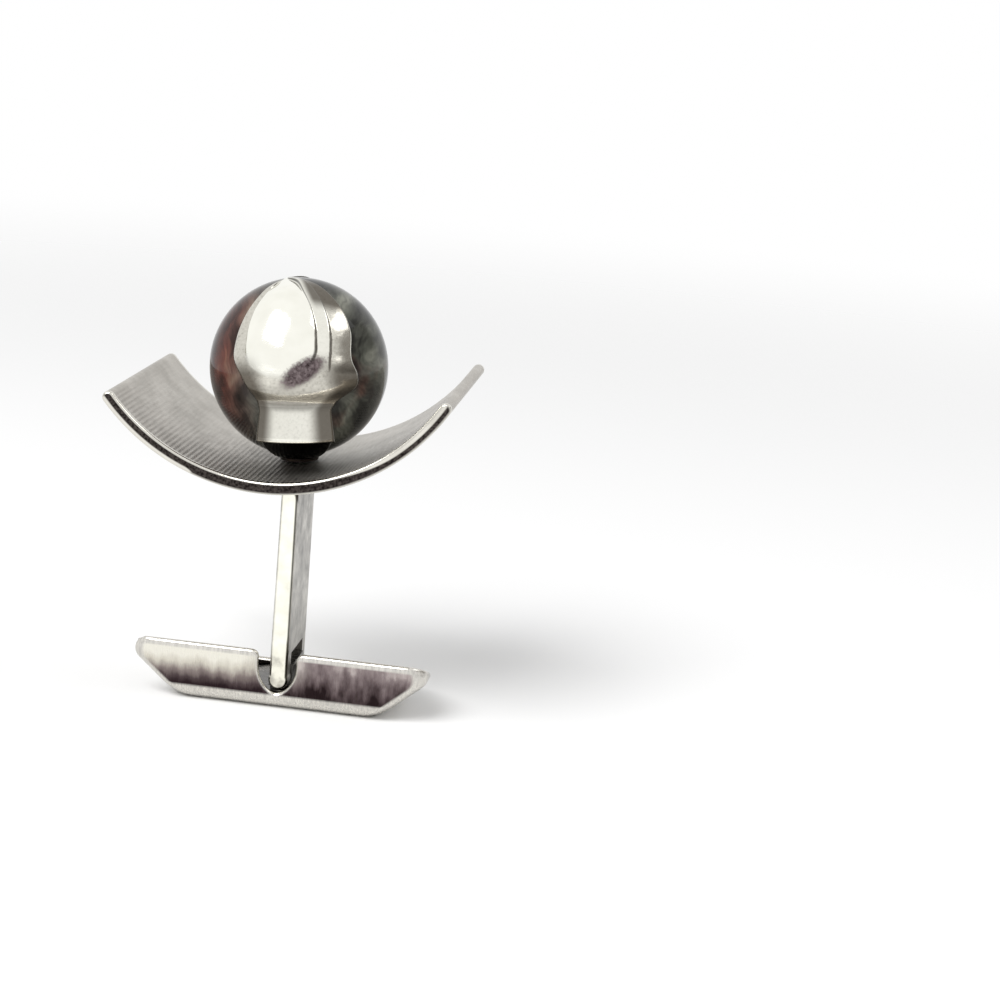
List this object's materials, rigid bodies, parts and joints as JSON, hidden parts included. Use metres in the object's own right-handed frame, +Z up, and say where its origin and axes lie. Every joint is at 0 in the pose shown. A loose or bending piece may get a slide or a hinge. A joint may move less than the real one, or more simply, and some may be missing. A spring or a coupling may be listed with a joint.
{
  "type": "cufflink",
  "caption": "Toggle-back cufflink: a polished stone ball held by pointed claws on a curved ribbed plate, with a flat post and a hollow boat-shaped toggle that swivels.",
  "frame": {"origin": "middle of the toggle's flat underside, on the post's axis", "axes": "+Z up the post towards the head, +X along the toggle, -Y towards the front"},
  "size_m": [0.0229, 0.016, 0.0294],
  "materials": {
    "polished_silver": "polished",
    "satin_silver": "satin with fine ribs",
    "steel": "plain",
    "polished_stone": "polished, banded grey and brown"
  },
  "bodies": {
    "face": {"face_plate": "satin_silver", "bead": "polished_stone", "front_claw": "polished_silver", "rear_claw": "polished_silver", "claw_seat": "polished_silver", "post": "polished_silver"},
    "toggle": {"toggle_shell": "polished_silver", "pivot_block": "polished_silver", "pivot_pin": "steel", "leaf_spring": "steel", "spring_rivet_front": "steel", "spring_rivet_rear": "steel"}
  },
  "joints": [
    {"name": "toggle_swivel", "type": "hinge", "parent": "face", "child": "toggle", "pos_m": [0, 0, 0.00195], "axis": [0, 1, 0], "range_deg": [0, 90]}
  ]
}
